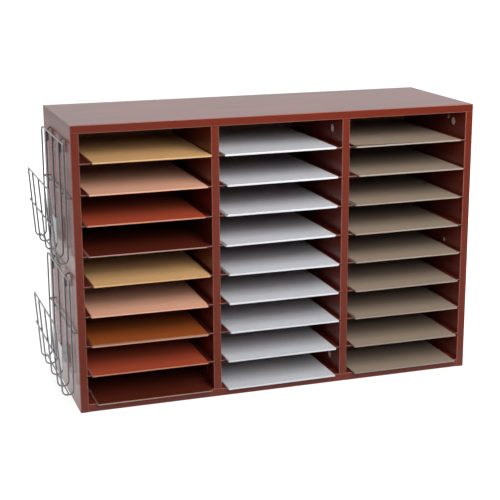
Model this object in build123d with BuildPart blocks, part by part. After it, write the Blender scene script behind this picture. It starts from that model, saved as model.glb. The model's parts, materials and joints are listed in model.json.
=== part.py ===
from build123d import *

import os
from math import cos, hypot, atan2

# Classroom mail center: a laminate cabinet with three columns of open compartments
# for letter paper, thin shelves that slide out of grooves, and two wire baskets that
# hang on the outside of its left end. Millimetres, +X to the right, +Y to the back,
# +Z up. The origin is the centre of the cabinet's underside.

# Cabinet
board = 15.0
column_width = 239.0
row_height = 52.5
row_count = 9
column_names = ("left", "centre", "right")
upright_names = ("left_side_board", "left_divider", "right_divider", "right_side_board")
cabinet_depth = 273.0
edge_round = 1.5

# Shelves and the grooves they slide in
shelf_thickness = 3.2
groove_depth = 2.5
shelf_side_clearance = 0.5
shelf_face_clearance = 0.3
shelf_setback = 0.5
shelf_rear_clearance = 1.0

# Back panel in its rebate, and the nails that hold it
back_thickness = 3.2
rebate_width = 8.0
back_clearance = 0.5
nail_radius = 0.7
nail_length = 15.0
nail_head_radius = 1.9
nail_head_height = 0.8
nail_clearance = 0.05
nails_per_column = 3
nails_per_upright = 3

# Cam locks, cam bolts and dowels, in each joint between the boards
hole_end_gap = 0.5
cam_radius = 7.4
cam_length = 12.0
cam_clearance = 0.1
cam_from_joint = 24.0
cam_from_edge = 50.0
cam_slot_length = 9.0
cam_slot_width = 1.6
cam_slot_depth = 2.5
bolt_radius = 3.0
bolt_thread_radius = 2.5
bolt_thread_length = 10.0
bolt_collar_radius = 3.8
bolt_collar_length = 2.0
bolt_clearance = 0.1
dowel_radius = 4.0
dowel_length = 30.0
dowel_in_cap = 10.0
dowel_clearance = 0.05
dowel_chamfer = 0.8
dowel_from_cam = 32.0

# Wire baskets: a back frame against the cabinet, a slim pocket and its rim
wire_radius = 1.5
weld_gap = 0.05
basket_standoff = 8.0
basket_half_width = 114.5
inner_wire_spacing = 66.0
basket_top = 492.0
basket_pitch = 248.0
basket_height = 214.0
pocket_floor = 20.0
pocket_mouth = 29.0
floor_straight = 1.0
rim_drop = 79.0
top_corner_radius = 8.0
rim_corner_radius = 4.0
back_cross_drop = 96.0
front_cross_drop = 141.0
cross_overhang = 3.5
foot_overhang = 4.0
foot_bend_radius = 3.0
foot_gap = 0.3
hook_bend_radius = 3.5
hook_tail = 22.0
hook_reach = 11.5
hook_clearance = 0.5
plate_width = 42.0
plate_height = 48.0
plate_thickness = 1.0
plate_above_floor = 14.0
plate_corner_radius = 3.0

# Sizes that follow from the ones above
column_count = len(column_names)
column_pitch = column_width + board
cabinet_width = column_count * column_pitch + board
upright_height = row_count * row_height + (row_count - 1) * shelf_thickness
cabinet_height = upright_height + 2 * board
bottom_width = cabinet_width - 2 * board
lower_joint_z = board
upper_joint_z = board + upright_height
side_x = cabinet_width / 2
front_y = -cabinet_depth / 2
rear_y = cabinet_depth / 2
rebate_depth = back_thickness + nail_head_height
seat_y = rear_y - rebate_depth
groove_height = shelf_thickness + 2 * shelf_face_clearance
shelf_width = column_width + 2 * (groove_depth - shelf_side_clearance)
shelf_front_y = front_y + shelf_setback
shelf_rear_y = seat_y - shelf_rear_clearance
upright_places = [
    -side_x + board / 2 + number * column_pitch for number in range(column_count + 1)
]
column_places = [x + column_pitch / 2 for x in upright_places[:-1]]
cam_y_places = (front_y + cam_from_edge, rear_y - cam_from_edge)
dowel_y_places = (cam_y_places[0] + dowel_from_cam, cam_y_places[1] - dowel_from_cam)

# Which way each upright's open faces look, and the side of its rebate: -1 is left, 1 right
open_faces = [(1,)] + [(-1, 1)] * (column_count - 1) + [(-1,)]
rebate_sides = [1] + [0] * (column_count - 1) + [-1]

# Cam joints, each with a point on the joint, the way into the board that takes the bolt,
# and the way that the cam lock in the other board faces
cam_joints = (
    [
        (Vector(x, 0, upper_joint_z), Vector(0, 0, 1), Vector(faces[0], 0, 0))
        for x, faces in zip(upright_places, open_faces)
    ]
    + [
        (Vector(x, 0, lower_joint_z), Vector(0, 0, -1), Vector(-1, 0, 0))
        for x in upright_places[1:-1]
    ]
    + [
        (Vector(side * bottom_width / 2, 0, board / 2), Vector(side, 0, 0), Vector(0, 0, -1))
        for side in (-1, 1)
    ]
)
joint_planes = [
    Plane(origin=at, x_dir=(0, 1, 0), z_dir=into_board) for at, into_board, _ in cam_joints
]
cam_planes = [
    Plane(
        origin=at - into_board * cam_from_joint + cam_face * (board / 2),
        x_dir=(0, 1, 0),
        z_dir=cam_face,
    )
    for at, into_board, cam_face in cam_joints
]
bolt_tip_planes = [plane.offset(-cam_from_joint - bolt_clearance) for plane in joint_planes]
cam_places = [(y, 0) for y in cam_y_places]
dowel_places = [(y, 0) for y in dowel_y_places]

# Basket points, measured from the left side board's outer face
wall_x = -side_x
back_wire_x = wall_x - basket_standoff
floor_corner_x = back_wire_x - pocket_floor
rim_x = back_wire_x - pocket_mouth
touch = 2 * wire_radius + weld_gap
butt = wire_radius + weld_gap
floor_bend_radius = (pocket_floor - floor_straight) / 2
leg_height = basket_height - rim_drop
leg_run = pocket_mouth - pocket_floor
leg_tilt = atan2(leg_run, leg_height)
inner_wire_places = (-inner_wire_spacing, 0.0, inner_wire_spacing)
hook_places = (-inner_wire_spacing, inner_wire_spacing)
basket_tops = {"upper": basket_top, "lower": basket_top - basket_pitch}
hook_hole_places = [(y, top + touch) for y in hook_places for top in basket_tops.values()]

os.makedirs("parts", exist_ok=True)


def write(piece, name):
    piece.part.label = name
    export_step(piece.part, f"parts/{name}.step")


def shelf_z(row):
    """Middle of the shelf under a row, where row 1 is the top one."""
    return upper_joint_z - row * row_height - (row - 0.5) * shelf_thickness


def nails():
    """Centres of the nails on the back, as X and Z."""
    along = [
        x + (k - (nails_per_column - 1) / 2) * column_width / nails_per_column
        for x in column_places
        for k in range(nails_per_column)
    ]
    up = [
        lower_joint_z + (k + 0.5) * upright_height / nails_per_upright
        for k in range(nails_per_upright)
    ]
    in_caps = [
        (x, z)
        for x in along
        for z in (lower_joint_z - rebate_width / 2, upper_joint_z + rebate_width / 2)
    ]
    in_uprights = [
        (x + side * (board - rebate_width) / 2, z)
        for x, side in zip(upright_places, rebate_sides)
        for z in up
    ]
    return in_caps + in_uprights


# What the cam joints cut out of the boards
with BuildPart() as joint_holes:
    for radius, places, depth in (
        (bolt_thread_radius + bolt_clearance, cam_places, bolt_thread_length + hole_end_gap),
        (bolt_collar_radius + bolt_clearance, cam_places, -cam_from_joint),
        (dowel_radius + dowel_clearance, dowel_places, dowel_in_cap + hole_end_gap),
        (
            dowel_radius + dowel_clearance,
            dowel_places,
            dowel_in_cap - dowel_length - hole_end_gap,
        ),
    ):
        with BuildSketch(*joint_planes):
            with Locations(places):
                Circle(radius)
        extrude(amount=depth)
    with BuildSketch(*cam_planes):
        with Locations(cam_places):
            Circle(cam_radius + cam_clearance)
    extrude(amount=-cam_length - cam_clearance)

# What the nails cut out of the back panel and the boards
nail_head_plane = Plane.XZ.offset(-seat_y - back_thickness)
with BuildPart() as nail_holes:
    with BuildSketch(nail_head_plane):
        with Locations(nails()):
            Circle(nail_radius + nail_clearance)
    extrude(amount=nail_length + hole_end_gap)

# Top board, over the side boards and dividers
with BuildPart() as top_board:
    with BuildSketch(Plane.XY.offset(upper_joint_z)):
        Rectangle(cabinet_width, cabinet_depth)
    extrude(amount=board)
    front_and_top_edges = top_board.edges().filter_by(
        lambda edge: edge.center().Y < front_y + edge_round
        or edge.center().Z > cabinet_height - edge_round
    )
    fillet(front_and_top_edges, radius=edge_round)
    with BuildSketch(Plane.XY.offset(upper_joint_z)):
        with Locations((0, rear_y - rebate_depth / 2)):
            Rectangle(cabinet_width - 2 * (board - rebate_width), rebate_depth)
    extrude(amount=rebate_width, mode=Mode.SUBTRACT)
    add(joint_holes.part, mode=Mode.SUBTRACT)
    add(nail_holes.part, mode=Mode.SUBTRACT)
write(top_board, "top_board")

# Bottom board, between the side boards
with BuildPart() as bottom_board:
    with BuildSketch(Plane.XY):
        Rectangle(bottom_width, cabinet_depth)
    extrude(amount=board)
    bottom_front_edges = bottom_board.edges().filter_by(Axis.X).group_by(Axis.Y)[0]
    fillet(bottom_front_edges, radius=edge_round)
    with BuildSketch(Plane.XY.offset(lower_joint_z)):
        with Locations((0, rear_y - rebate_depth / 2)):
            Rectangle(bottom_width, rebate_depth)
    extrude(amount=-rebate_width, mode=Mode.SUBTRACT)
    add(joint_holes.part, mode=Mode.SUBTRACT)
    add(nail_holes.part, mode=Mode.SUBTRACT)
write(bottom_board, "bottom_board")

# Side boards, which reach the floor and have holes for the baskets, and dividers. Both
# have grooves for the shelves and a rebate for the back.
for name, x, faces, side in zip(upright_names, upright_places, open_faces, rebate_sides):
    foot_z = 0.0 if side else lower_joint_z
    rebate_run = rebate_width if side else board
    rebate_foot_z = lower_joint_z - rebate_width if side else lower_joint_z
    with BuildPart() as upright:
        with BuildSketch(Plane.XY.offset(foot_z)):
            with Locations((x, 0)):
                Rectangle(board, cabinet_depth)
        extrude(amount=upper_joint_z - foot_z)
        front_edges = upright.edges().filter_by(Axis.Z).group_by(Axis.Y)[0]
        fillet(front_edges, radius=edge_round)
        with BuildSketch(Plane.XY.offset(rebate_foot_z)):
            with Locations((x + side * (board - rebate_run) / 2, rear_y - rebate_depth / 2)):
                Rectangle(rebate_run, rebate_depth)
        extrude(amount=upper_joint_z - rebate_foot_z, mode=Mode.SUBTRACT)
        with BuildSketch(Plane.XZ.offset(-front_y)):
            with Locations(
                [
                    (x + face * (board - groove_depth) / 2, shelf_z(row))
                    for face in faces
                    for row in range(1, row_count)
                ]
            ):
                Rectangle(groove_depth, groove_height)
        extrude(amount=front_y - seat_y, mode=Mode.SUBTRACT)
        add(joint_holes.part, mode=Mode.SUBTRACT)
        add(nail_holes.part, mode=Mode.SUBTRACT)
        if side:
            with BuildSketch(Plane.YZ.offset(x - board / 2)):
                with Locations(hook_hole_places):
                    Circle(wire_radius + hook_clearance)
            extrude(amount=board, mode=Mode.SUBTRACT)
    write(upright, name)

# Back panel
with BuildPart() as back_panel:
    with BuildSketch(Plane.XZ.offset(-seat_y)):
        with Locations((0, cabinet_height / 2)):
            Rectangle(
                cabinet_width - 2 * (board - rebate_width + back_clearance),
                upright_height + 2 * (rebate_width - back_clearance),
            )
    extrude(amount=-back_thickness)
    add(nail_holes.part, mode=Mode.SUBTRACT)
write(back_panel, "back_panel")

# Nails, with their heads flush with the rear edges of the cabinet
with BuildPart() as back_nails:
    with BuildSketch(nail_head_plane):
        with Locations(nails()):
            Circle(nail_radius)
    extrude(amount=nail_length)
    with BuildSketch(nail_head_plane):
        with Locations(nails()):
            Circle(nail_head_radius)
    extrude(amount=-nail_head_height)
write(back_nails, "back_nails")

# Shelves
for column, x in zip(column_names, column_places):
    for row in range(1, row_count):
        with BuildPart() as shelf:
            with BuildSketch(Plane.XY.offset(shelf_z(row) - shelf_thickness / 2)):
                with Locations((x, (shelf_front_y + shelf_rear_y) / 2)):
                    Rectangle(shelf_width, shelf_rear_y - shelf_front_y)
            extrude(amount=shelf_thickness)
        write(shelf, f"shelf_{column}_{row}")

# Cam locks, each with a cross slot and a bore for its bolt
with BuildPart() as cam_locks:
    with BuildSketch(*cam_planes):
        with Locations(cam_places):
            Circle(cam_radius)
    extrude(amount=-cam_length)
    with BuildSketch(*cam_planes):
        with Locations(cam_places):
            Rectangle(cam_slot_length, cam_slot_width)
            Rectangle(cam_slot_width, cam_slot_length)
    extrude(amount=-cam_slot_depth, mode=Mode.SUBTRACT)
    with BuildSketch(*bolt_tip_planes):
        with Locations(cam_places):
            Circle(bolt_radius + bolt_clearance)
    extrude(amount=cam_radius + 2 * bolt_clearance, mode=Mode.SUBTRACT)
write(cam_locks, "cam_locks")

# Cam bolts, each from the board it screws into to the middle of its cam lock
with BuildPart() as cam_bolts:
    for radius, run in (
        (bolt_thread_radius, bolt_thread_length),
        (bolt_collar_radius, -bolt_collar_length),
        (bolt_radius, -cam_from_joint),
    ):
        with BuildSketch(*joint_planes):
            with Locations(cam_places):
                Circle(radius)
        extrude(amount=run)
write(cam_bolts, "cam_bolts")

# Dowels
with BuildPart() as dowels:
    with BuildSketch(*[plane.offset(dowel_in_cap) for plane in joint_planes]):
        with Locations(dowel_places):
            Circle(dowel_radius)
    extrude(amount=-dowel_length)
    chamfer(dowels.edges().filter_by(GeomType.CIRCLE), length=dowel_chamfer)
write(dowels, "dowels")


def cross_wire(x, z, half_length):
    """A straight wire along Y."""
    with BuildPart() as straight:
        with BuildSketch(Plane.XZ.offset(half_length)):
            with Locations((x, z)):
                Circle(wire_radius)
        extrude(amount=-2 * half_length)
    return straight


def bent_wire(points, radii):
    """One wire along straight runs with rounded corners."""
    with BuildPart() as bent:
        with BuildLine() as route:
            FilletPolyline(*points, radius=radii)
        start = Plane(origin=route.wire() @ 0, z_dir=route.wire() % 0)
        with BuildSketch(start):
            Circle(wire_radius)
        sweep(path=route.wire())
    return bent


# Baskets
for basket, top_z in basket_tops.items():
    floor_z = top_z - basket_height
    rim_z = top_z - rim_drop

    # Outer frame: one closed loop, made as a half and mirrored
    half_points = [
        (rim_x, 0, rim_z),
        (rim_x, basket_half_width, rim_z),
        (floor_corner_x, basket_half_width, floor_z),
        (back_wire_x, basket_half_width, floor_z),
        (back_wire_x, basket_half_width, top_z),
        (back_wire_x, 0, top_z),
    ]
    with BuildPart() as frame_wire:
        with BuildLine() as route:
            FilletPolyline(
                *half_points,
                radius=[
                    rim_corner_radius,
                    floor_bend_radius,
                    floor_bend_radius,
                    top_corner_radius,
                ],
            )
        with BuildSketch(Plane(origin=route.wire() @ 0, z_dir=route.wire() % 0)):
            Circle(wire_radius)
        sweep(path=route.wire())
        mirror(about=Plane.XZ)
    write(frame_wire, f"{basket}_basket_frame_wire")

    # Inner U wires, butted against the rim and the top of the frame
    leg_length = hypot(leg_run, leg_height)
    rim_share = 1 - butt / leg_length
    for number, y in enumerate(inner_wire_places, start=1):
        inner_wire = bent_wire(
            [
                (floor_corner_x - rim_share * leg_run, y, floor_z + rim_share * leg_height),
                (floor_corner_x, y, floor_z),
                (back_wire_x, y, floor_z),
                (back_wire_x, y, top_z - butt),
            ],
            [floor_bend_radius, floor_bend_radius],
        )
        write(inner_wire, f"{basket}_basket_inner_wire_{number}")

    # Cross wires on the front and in the floor
    front_cross_z = top_z - front_cross_drop
    leg_x = floor_corner_x - leg_run * (front_cross_z - floor_z) / leg_height
    cross_half_length = basket_half_width + cross_overhang
    front_cross = cross_wire(leg_x - touch / cos(leg_tilt), front_cross_z, cross_half_length)
    write(front_cross, f"{basket}_basket_front_cross_wire")
    floor_cross = cross_wire(
        back_wire_x - pocket_floor / 2, floor_z + touch, cross_half_length
    )
    write(floor_cross, f"{basket}_basket_floor_cross_wire")

    # Back cross wire, whose ends turn to the cabinet as feet
    foot_y = basket_half_width + foot_overhang
    back_cross_x = back_wire_x + touch
    back_cross_z = top_z - back_cross_drop
    back_cross = bent_wire(
        [
            (wall_x - foot_gap, -foot_y, back_cross_z),
            (back_cross_x, -foot_y, back_cross_z),
            (back_cross_x, foot_y, back_cross_z),
            (wall_x - foot_gap, foot_y, back_cross_z),
        ],
        [foot_bend_radius, foot_bend_radius],
    )
    write(back_cross, f"{basket}_basket_back_cross_wire")

    # Hook pins, welded behind the frame and turned into the side board's holes
    with BuildPart() as hooks:
        for y in hook_places:
            hook = bent_wire(
                [
                    (back_wire_x + touch, y, top_z - hook_tail),
                    (back_wire_x + touch, y, top_z + touch),
                    (wall_x + hook_reach, y, top_z + touch),
                ],
                [hook_bend_radius],
            )
            add(hook.part)
    write(hooks, f"{basket}_basket_hooks")

    # Plain plate on the middle back wire
    with BuildPart() as plate:
        with BuildSketch(Plane.YZ.offset(back_wire_x - butt)):
            with Locations((0, floor_z + plate_above_floor + plate_height / 2)):
                RectangleRounded(plate_width, plate_height, plate_corner_radius)
        extrude(amount=-plate_thickness)
    write(plate, f"{basket}_basket_plate")
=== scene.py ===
import json
import math

import bpy
from bpy.props import FloatProperty, FloatVectorProperty, PointerProperty
from mathutils import Matrix, Vector


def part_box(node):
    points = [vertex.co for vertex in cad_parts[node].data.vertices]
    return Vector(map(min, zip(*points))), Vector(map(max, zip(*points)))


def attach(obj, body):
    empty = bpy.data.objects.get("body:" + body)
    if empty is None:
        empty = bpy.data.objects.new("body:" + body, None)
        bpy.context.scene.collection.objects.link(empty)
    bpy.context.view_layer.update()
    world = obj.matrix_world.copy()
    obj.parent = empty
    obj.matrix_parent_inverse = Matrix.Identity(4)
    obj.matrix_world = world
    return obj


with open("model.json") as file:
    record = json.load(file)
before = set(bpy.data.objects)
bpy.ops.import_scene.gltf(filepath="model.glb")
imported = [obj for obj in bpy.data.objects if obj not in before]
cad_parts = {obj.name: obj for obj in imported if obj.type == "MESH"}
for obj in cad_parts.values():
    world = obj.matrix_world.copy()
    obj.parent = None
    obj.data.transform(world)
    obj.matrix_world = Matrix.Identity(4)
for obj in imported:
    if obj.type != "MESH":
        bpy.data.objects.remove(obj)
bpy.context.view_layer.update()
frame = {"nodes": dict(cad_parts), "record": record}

bl_info = {
    "name": "Classroom mail center",
    "version": (1, 0, 0),
    "blender": (4, 5, 0),
    "location": "View3D > Sidebar > Mail center",
    "description": "Finishes a laminate paper sorter with wire baskets and fills it with paper",
    "category": "Object",
}

MM = 0.001

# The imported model's own names: columns and rows of compartments, the upright boards from
# left to right, and the baskets with their inner wires
COLUMNS = ("left", "centre", "right")
ROWS = 9
BOARDS = ("left_side_board", "left_divider", "right_divider", "right_side_board")
BASKETS = ("upper", "lower")
INNER_WIRES = (1, 2, 3)

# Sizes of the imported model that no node's box gives
WIRE_RADIUS = 1.5 * MM
CAM_RADIUS = 7.4 * MM

# Thin trim: the caps over the left divider's cam locks, the collars round the spare basket
# holes, and the turn that lays both on an upright board
CAP_THICKNESS = 0.4 * MM
COLLAR_RIM = 1.5 * MM
COLLAR_HEIGHT = 0.8 * MM
FACING_X = (0.0, math.pi / 2, 0.0)

# How far a leaf may lie out of its pile and be turned by chance, the room that a turned
# sheet keeps to the walls and the back, and how much a pile's waves add to its height
LEAF_SLIDE = 0.35 * MM
LEAF_TURN = math.radians(0.07)
SHEET_ROOM = 1.0 * MM
PILE_WAVE = 0.3

# Steps between seeds, so that no column, turn or loose sheet repeats another's draws
COLUMN_SEED_STEP = 10
TURN_SEED_STEP = 100.0
LOOSE_SEED_STEP = 50.0

# Each pile from the top row down: the gap from the left wall and how far the middle of its
# front edge stands out, in mm, how far it is turned, in degrees, and its paper
PILES = {
    "left": (
        (21.0, 11.0, 0.4, "manila"),
        (12.4, 13.6, 0.3, "salmon"),
        (8.6, 11.0, 1.2, "rust"),
        (10.6, 11.0, -0.6, "maroon"),
        (15.6, 11.2, 0.1, "manila"),
        (9.0, 13.4, -1.7, "salmon"),
        (10.0, 12.8, -0.9, "pink"),
        (10.2, 11.4, 0.0, "rust"),
        (17.0, 11.0, -0.8, "maroon"),
    ),
    "centre": (
        (7.0, 13.4, 1.6, "white"),
        (10.3, 13.9, 1.7, "white"),
        (11.5, 12.2, 1.3, "white"),
        (8.6, 14.0, 1.6, "white"),
        (13.5, 16.0, -0.1, "white"),
        (12.3, 16.6, 0.0, "white"),
        (14.0, 16.6, 0.0, "white"),
        (9.4, 16.2, 0.4, "white"),
        (9.6, 13.0, 0.6, "white"),
    ),
    "right": (
        (8.4, 13.8, 1.6, "taupe"),
        (15.4, 11.5, 0.6, "taupe"),
        (11.5, 11.8, 1.2, "taupe"),
        (8.7, 13.0, 1.4, "taupe"),
        (13.4, 11.8, 0.3, "taupe"),
        (10.7, 15.3, 0.6, "taupe"),
        (12.6, 12.8, -0.8, "taupe"),
        (10.3, 16.0, -0.4, "taupe"),
        (13.2, 11.4, -0.4, "taupe"),
    ),
}

# Sheets that lie loose on a pile: how far they are moved to the right, how far their front
# edge is set back and how much they are raised at the left, or where negative at the right,
# in mm, how far they are turned, in degrees, and their paper
LOOSE_SHEETS = {
    ("left", 5): (-0.4, 0.6, -0.8, 0.1, "manila"),
    ("left", 6): (0.4, 1.6, -0.6, 0.25, "salmon"),
    ("left", 7): (-1.6, 5.5, 1.2, 0.2, "brown"),
    ("centre", 4): (-1.6, 0.6, 0.4, 0.4, "white"),
    ("centre", 5): (1.2, 1.4, 0.3, -0.3, "white"),
    ("right", 1): (-0.5, 2.8, 2.0, -1.4, "taupe"),
    ("right", 3): (0.6, 2.6, 0.8, -0.4, "taupe"),
    ("right", 7): (1.0, 2.8, 0.8, 0.5, "taupe"),
    ("right", 9): (-0.8, 1.6, 0.5, -0.3, "taupe"),
}

# Piles that lean, and how far their lowest sheet stands out to the left, in mm
LEANS = {
    ("left", 1): 1.2,
    ("left", 3): 2.4,
    ("left", 4): 3.0,
    ("left", 5): 1.0,
    ("left", 7): 2.4,
    ("left", 8): 3.2,
    ("left", 9): 3.2,
    ("centre", 1): 1.0,
    ("centre", 3): 3.0,
    ("centre", 4): 3.4,
    ("centre", 5): 1.6,
    ("right", 1): 1.6,
    ("right", 3): 2.0,
    ("right", 5): 1.4,
}

# Each paper: what it is, how many leaves are drawn in its pile, and the colour of its cut
# edges
PAPERS = {
    "manila": ("manila_card", 7, "#dcb485"),
    "salmon": ("salmon_card", 7, "#e2b096"),
    "rust": ("rust_card", 6, "#cf9276"),
    "maroon": ("dark_brown_card", 5, "#c09a8b"),
    "brown": ("orange_brown_card", 6, "#c4906c"),
    "pink": ("dusky_pink_card", 6, "#cf9c84"),
    "white": ("white_copy_paper", 9, "#e2e2e4"),
    "taupe": ("grey_brown_paper", 7, "#ac9d90"),
}

# Half the floor's width in metres, and how far it lies below the cabinet
FLOOR_REACH = 14.0
FLOOR_DROP = 0.2 * MM

# Colours of the light: the soft boxes, the one low in front, and the studio's own glow
WHITE = (1.0, 1.0, 1.0)
COOL_WHITE = (0.78, 0.93, 1.0)
STUDIO_WHITE = (0.86, 0.95, 1.0)

# Each soft box: its name, its place and size in metres, its power in watts and its colour,
# and the point that they are all aimed at
SOFT_BOXES = (
    ("key_light", (0.25, -0.85, 0.95), (0.45, 0.5), 6.1, WHITE),
    ("front_soft_box", (0.0, -2.5, 1.5), (1.3, 0.9), 44.0, WHITE),
    ("low_front_box", (0.0, -2.6, 0.6), (1.2, 0.4), 6.0, COOL_WHITE),
    ("left_soft_box", (-2.2, 0.7, 1.0), (1.2, 1.2), 22.0, WHITE),
    ("right_soft_box", (2.2, 0.7, 1.0), (1.2, 1.2), 26.0, WHITE),
    ("rear_soft_box", (0.0, 2.6, 2.2), (2.4, 1.6), 66.0, WHITE),
)
LAMP_TARGET = (0.0, 0.0, 0.26)

# The photograph's view, solved from the cabinet's edges: the camera's place in metres, and
# in degrees its heading, how far it looks down and its roll
CAMERA_PLACE = (-0.77622, -2.27433, 0.86602)
CAMERA_HEADING = -18.469
CAMERA_DOWN = 14.587
CAMERA_ROLL = -0.261


def linear(hex_colour):
    """A colour written as sRGB hex, as the linear colour that Blender works in."""
    channels = [int(hex_colour[k : k + 2], 16) / 255 for k in (1, 3, 5)]
    return tuple(c / 12.92 if c <= 0.04045 else ((c + 0.055) / 1.055) ** 2.4 for c in channels)


def colour_property(name, description, hex_colour):
    """A colour that a user can change, from its sRGB hex value."""
    return FloatVectorProperty(
        name=name,
        description=description,
        default=linear(hex_colour),
        size=3,
        min=0.0,
        max=1.0,
        subtype="COLOR",
    )


def length_property(name, description, millimetres):
    """A length that a user can change, from its value in millimetres."""
    return FloatProperty(
        name=name,
        description=description,
        default=millimetres * MM,
        min=0.0,
        precision=5,
        unit="LENGTH",
    )


class LaminateSettings(bpy.types.PropertyGroup):
    """The printed laminate on the boards and shelves."""

    ground: colour_property("Ground", "Mahogany red between the pores", "#783026")
    pores: colour_property("Pores", "Darker print of the pores and bands", "#421812")
    band: colour_property("Edge band", "Plastic band on the front edges", "#682414")
    # The trim line is drawn pale as a painted highlight of the rounded front edges
    trim_line_and_highlight: colour_property("Trim line", "Paler line where a band is trimmed", "#955a4d")
    shelf_edge: colour_property("Shelf edge", "Cut front edge of a shelf", "#41241d")
    # The film line is also a painted highlight on the top of a shelf's cut edge
    film_line_and_highlight: colour_property("Film line", "Cut edge of a shelf's film", "#8a6058")
    pore_width: length_property("Pore width", "Width of a printed pore", 1.6)
    pore_length: length_property("Pore length", "Length of a printed pore", 45.0)
    cap_radius: length_property("Cap radius", "Radius of a cap over a cam lock", 9.0)


class PaperSettings(bpy.types.PropertyGroup):
    """Letter paper in the compartments."""

    width: length_property("Width", "Width of a sheet", 215.9)
    length: length_property("Length", "Length of a sheet, front to back", 279.4)
    leaf: length_property("Leaf", "Thickness of one drawn leaf of several sheets", 0.3)
    manila: colour_property("Manila", "Manila card", "#e8b87e")
    salmon: colour_property("Salmon", "Salmon card", "#f2b898")
    rust: colour_property("Rust", "Rust red card", "#b65036")
    maroon: colour_property("Maroon", "Dark brown card", "#5a2317")
    brown: colour_property("Brown", "Orange brown card", "#a65627")
    pink: colour_property("Pink", "Dusky pink card", "#c08a74")
    white: colour_property("White", "White copy paper", "#d9dbdf")
    taupe: colour_property("Taupe", "Grey brown paper", "#a3917f")


class BasketSettings(bpy.types.PropertyGroup):
    """The silver wire baskets."""

    coat: colour_property("Coat", "Silver powder coat", "#a4a7aa")
    # A paler copy of the coat: painted sheen that makes the plate look brighter
    plate_coat_painted_paler: colour_property("Plate coat", "Silver powder coat on a plate", "#bcc1c6")
    bead_radius: length_property("Weld bead", "Radius of a weld bead", 1.9)


class StageSettings(bpy.types.PropertyGroup):
    """Floor, light and camera."""

    floor: colour_property("Floor", "Pale studio floor", "#a6a6a6")
    lens: FloatProperty(
        name="Lens",
        description="Focal length of the camera",
        default=90.746,
        min=1.0,
        unit="CAMERA",
    )


def add_node(tree, kind, inputs=None, **settings):
    """A new node with its settings, each input set to a value or linked to a socket."""
    node = tree.nodes.new(kind)
    for name, value in settings.items():
        setattr(node, name, value)
    for key, value in (inputs or {}).items():
        if isinstance(value, bpy.types.NodeSocket):
            tree.links.new(value, node.inputs[key])
        else:
            node.inputs[key].default_value = value
    return node


def new_material(name):
    """A material with an empty node tree, and that tree."""
    material = bpy.data.materials.new(name)
    material.use_nodes = True
    material.node_tree.nodes.clear()
    return material, material.node_tree


def opaque(colour, share=1.0):
    """A colour with full alpha, darker or paler by a share."""
    return (*(min(1.0, share * c) for c in colour), 1.0)


def middle(name):
    """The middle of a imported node's box."""
    low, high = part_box(name)
    return (low + high) / 2


def paint(nodes, material):
    """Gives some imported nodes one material."""
    for name in nodes:
        slots = frame["nodes"][name].data.materials
        slots.clear()
        slots.append(material)


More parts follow.
